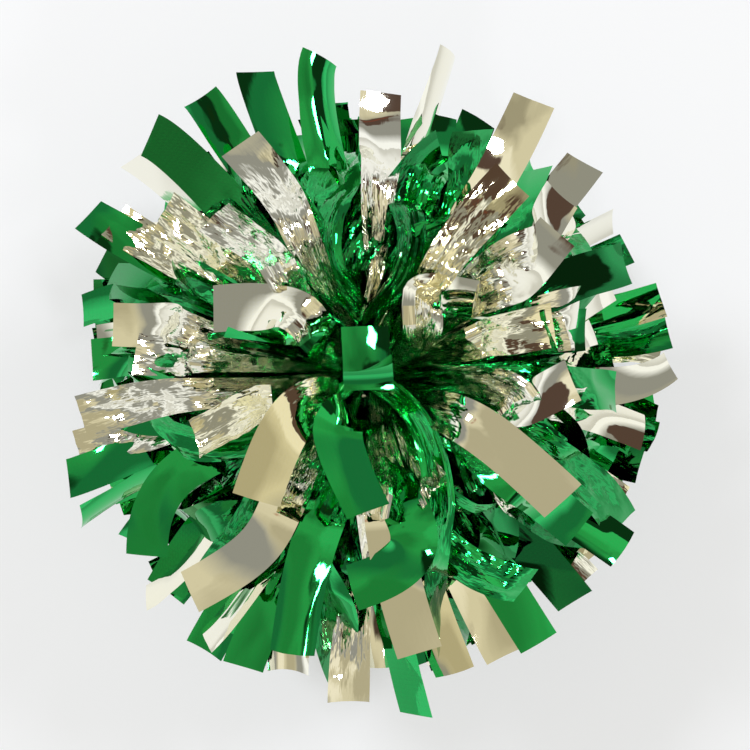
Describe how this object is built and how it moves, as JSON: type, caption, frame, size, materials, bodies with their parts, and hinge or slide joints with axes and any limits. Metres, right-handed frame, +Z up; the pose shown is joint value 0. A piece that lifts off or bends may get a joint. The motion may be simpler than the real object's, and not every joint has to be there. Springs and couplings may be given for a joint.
{
  "type": "cheer pom pom",
  "caption": "Round cheer pom pom of green and silver metallic film streamers, bound to both ends of a hidden baton handle and held through the streamers.",
  "frame": {"origin": "on the floor that the pom stands on, under the axis of the baton handle", "axes": "+Z up along the baton handle, from the lower head to the upper head; +X through the first bundle of each head"},
  "size_m": [0.331, 0.3318, 0.3191],
  "materials": {
    "green_film": "mirror-bright green metallised film",
    "silver_film": "mirror-bright silver metallised film with a warm tone",
    "handle_plastic": "smooth black moulded plastic",
    "tie_nylon": "black nylon",
    "tape": "matt vinyl tape"
  },
  "bodies": {
    "handle": {"baton_handle": "handle_plastic", "upper_end_plug": "handle_plastic", "upper_silver_band": "silver_film", "upper_green_band": "green_film", "upper_cable_tie": "tie_nylon", "upper_binding_tape": "tape", "lower_end_plug": "handle_plastic", "lower_silver_band": "silver_film", "lower_green_band": "green_film", "lower_cable_tie": "tie_nylon", "lower_binding_tape": "tape"},
    "upper_bundle_1": {"upper_green_streamers_1_left": "green_film", "upper_silver_streamers_1_middle": "silver_film", "upper_green_streamers_1_right": "green_film"},
    "upper_bundle_2": {"upper_green_streamers_2_left": "green_film", "upper_silver_streamers_2_middle": "silver_film", "upper_green_streamers_2_right": "green_film"},
    "upper_bundle_3": {"upper_green_streamers_3_left": "green_film", "upper_silver_streamers_3_middle": "silver_film", "upper_green_streamers_3_right": "green_film"},
    "upper_bundle_4": {"upper_green_streamers_4_left": "green_film", "upper_silver_streamers_4_middle": "silver_film", "upper_green_streamers_4_right": "green_film"},
    "upper_bundle_5": {"upper_green_streamers_5_left": "green_film", "upper_silver_streamers_5_middle": "silver_film", "upper_green_streamers_5_right": "green_film"},
    "upper_bundle_6": {"upper_green_streamers_6_left": "green_film", "upper_silver_streamers_6_middle": "silver_film", "upper_green_streamers_6_right": "green_film"},
    "lower_bundle_1": {"lower_green_streamers_1_left": "green_film", "lower_silver_streamers_1_middle": "silver_film", "lower_green_streamers_1_right": "green_film"},
    "lower_bundle_2": {"lower_green_streamers_2_left": "green_film", "lower_silver_streamers_2_middle": "silver_film", "lower_green_streamers_2_right": "green_film"},
    "lower_bundle_3": {"lower_green_streamers_3_left": "green_film", "lower_silver_streamers_3_middle": "silver_film", "lower_green_streamers_3_right": "green_film"},
    "lower_bundle_4": {"lower_green_streamers_4_left": "green_film", "lower_silver_streamers_4_middle": "silver_film", "lower_green_streamers_4_right": "green_film"},
    "lower_bundle_5": {"lower_green_streamers_5_left": "green_film", "lower_silver_streamers_5_middle": "silver_film", "lower_green_streamers_5_right": "green_film"},
    "lower_bundle_6": {"lower_green_streamers_6_left": "green_film", "lower_silver_streamers_6_middle": "silver_film", "lower_green_streamers_6_right": "green_film"}
  },
  "joints": [
    {"name": "upper_bundle_1_bend", "type": "hinge", "parent": "handle", "child": "upper_bundle_1", "pos_m": [0.014, 0, 0.18781], "axis": [0, 1, 0], "range_deg": [-8, 12], "stiffness_Nm_per_rad": 0.3},
    {"name": "upper_bundle_2_bend", "type": "hinge", "parent": "handle", "child": "upper_bundle_2", "pos_m": [0.007, 0.01212, 0.18781], "axis": [-0.866, 0.5, 0], "range_deg": [-8, 12], "stiffness_Nm_per_rad": 0.3},
    {"name": "upper_bundle_3_bend", "type": "hinge", "parent": "handle", "child": "upper_bundle_3", "pos_m": [-0.007, 0.01212, 0.18781], "axis": [-0.866, -0.5, 0], "range_deg": [-8, 12], "stiffness_Nm_per_rad": 0.3},
    {"name": "upper_bundle_4_bend", "type": "hinge", "parent": "handle", "child": "upper_bundle_4", "pos_m": [-0.014, 0, 0.18781], "axis": [0, -1, 0], "range_deg": [-8, 12], "stiffness_Nm_per_rad": 0.3},
    {"name": "upper_bundle_5_bend", "type": "hinge", "parent": "handle", "child": "upper_bundle_5", "pos_m": [-0.007, -0.01212, 0.18781], "axis": [0.866, -0.5, 0], "range_deg": [-8, 12], "stiffness_Nm_per_rad": 0.3},
    {"name": "upper_bundle_6_bend", "type": "hinge", "parent": "handle", "child": "upper_bundle_6", "pos_m": [0.007, -0.01212, 0.18781], "axis": [0.866, 0.5, 0], "range_deg": [-8, 12], "stiffness_Nm_per_rad": 0.3},
    {"name": "lower_bundle_1_bend", "type": "hinge", "parent": "handle", "child": "lower_bundle_1", "pos_m": [0.014, 0, 0.06181], "axis": [0, -1, 0], "range_deg": [-8, 12], "stiffness_Nm_per_rad": 0.3, "springref_deg": -5.73},
    {"name": "lower_bundle_2_bend", "type": "hinge", "parent": "handle", "child": "lower_bundle_2", "pos_m": [0.007, -0.01212, 0.06181], "axis": [-0.866, -0.5, 0], "range_deg": [-8, 12], "stiffness_Nm_per_rad": 0.3, "springref_deg": -5.73},
    {"name": "lower_bundle_3_bend", "type": "hinge", "parent": "handle", "child": "lower_bundle_3", "pos_m": [-0.007, -0.01212, 0.06181], "axis": [-0.866, 0.5, 0], "range_deg": [-8, 12], "stiffness_Nm_per_rad": 0.3, "springref_deg": -5.73},
    {"name": "lower_bundle_4_bend", "type": "hinge", "parent": "handle", "child": "lower_bundle_4", "pos_m": [-0.014, 0, 0.06181], "axis": [0, 1, 0], "range_deg": [-8, 12], "stiffness_Nm_per_rad": 0.3, "springref_deg": -5.73},
    {"name": "lower_bundle_5_bend", "type": "hinge", "parent": "handle", "child": "lower_bundle_5", "pos_m": [-0.007, 0.01212, 0.06181], "axis": [0.866, 0.5, 0], "range_deg": [-8, 12], "stiffness_Nm_per_rad": 0.3, "springref_deg": -5.73},
    {"name": "lower_bundle_6_bend", "type": "hinge", "parent": "handle", "child": "lower_bundle_6", "pos_m": [0.007, 0.01212, 0.06181], "axis": [0.866, -0.5, 0], "range_deg": [-8, 12], "stiffness_Nm_per_rad": 0.3, "springref_deg": -5.73}
  ]
}
